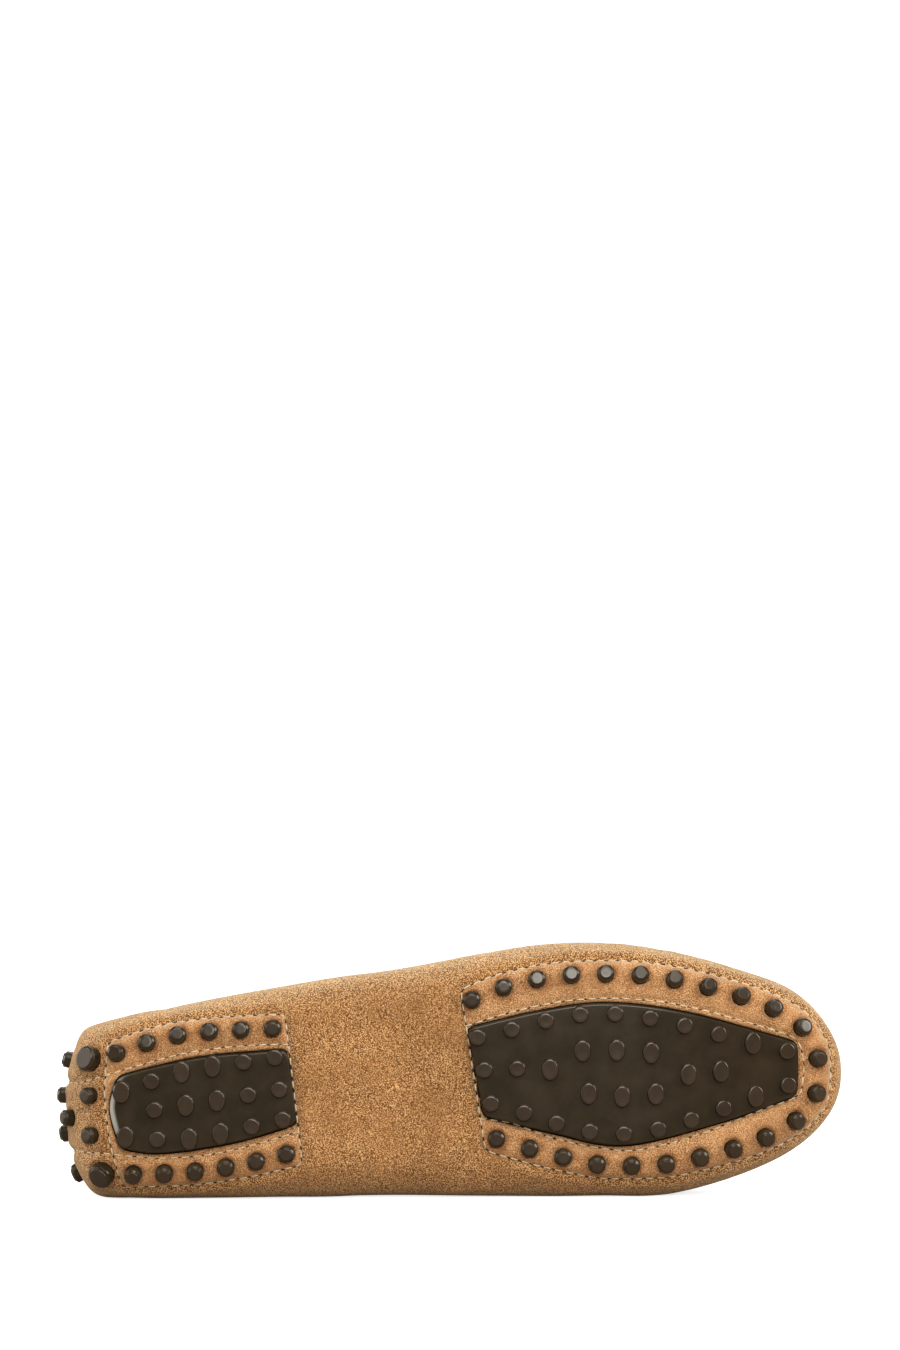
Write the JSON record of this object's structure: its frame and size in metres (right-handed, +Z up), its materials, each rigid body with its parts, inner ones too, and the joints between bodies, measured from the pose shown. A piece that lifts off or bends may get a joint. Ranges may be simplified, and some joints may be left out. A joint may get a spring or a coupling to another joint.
{
  "type": "driving loafer",
  "caption": "Suede driving loafer for the right foot, lying on its inner side, with stitched sole patches, raised rubber pads and studs through the suede, an apron vamp and tassels.",
  "frame": {"origin": "on the floor under the middle of the lying shoe's bounding box", "axes": "+X from heel to toe, +Y from the sole to the collar, +Z up from the floor to the outer side"},
  "size_m": [0.2596, 0.0686, 0.0838],
  "materials": {
    "suede": "napped tan suede",
    "rubber": "satin dark brown",
    "leather": "smooth tan"
  },
  "bodies": {
    "root": {"upper": "suede", "forefoot_patch": "suede", "heel_patch": "suede", "heel_tab": "suede", "apron": "suede", "forefoot_tread": "rubber", "heel_tread": "rubber", "insole": "leather", "tie": "leather", "tassel_front": "leather", "tassel_rear": "leather"}
  },
  "joints": []
}
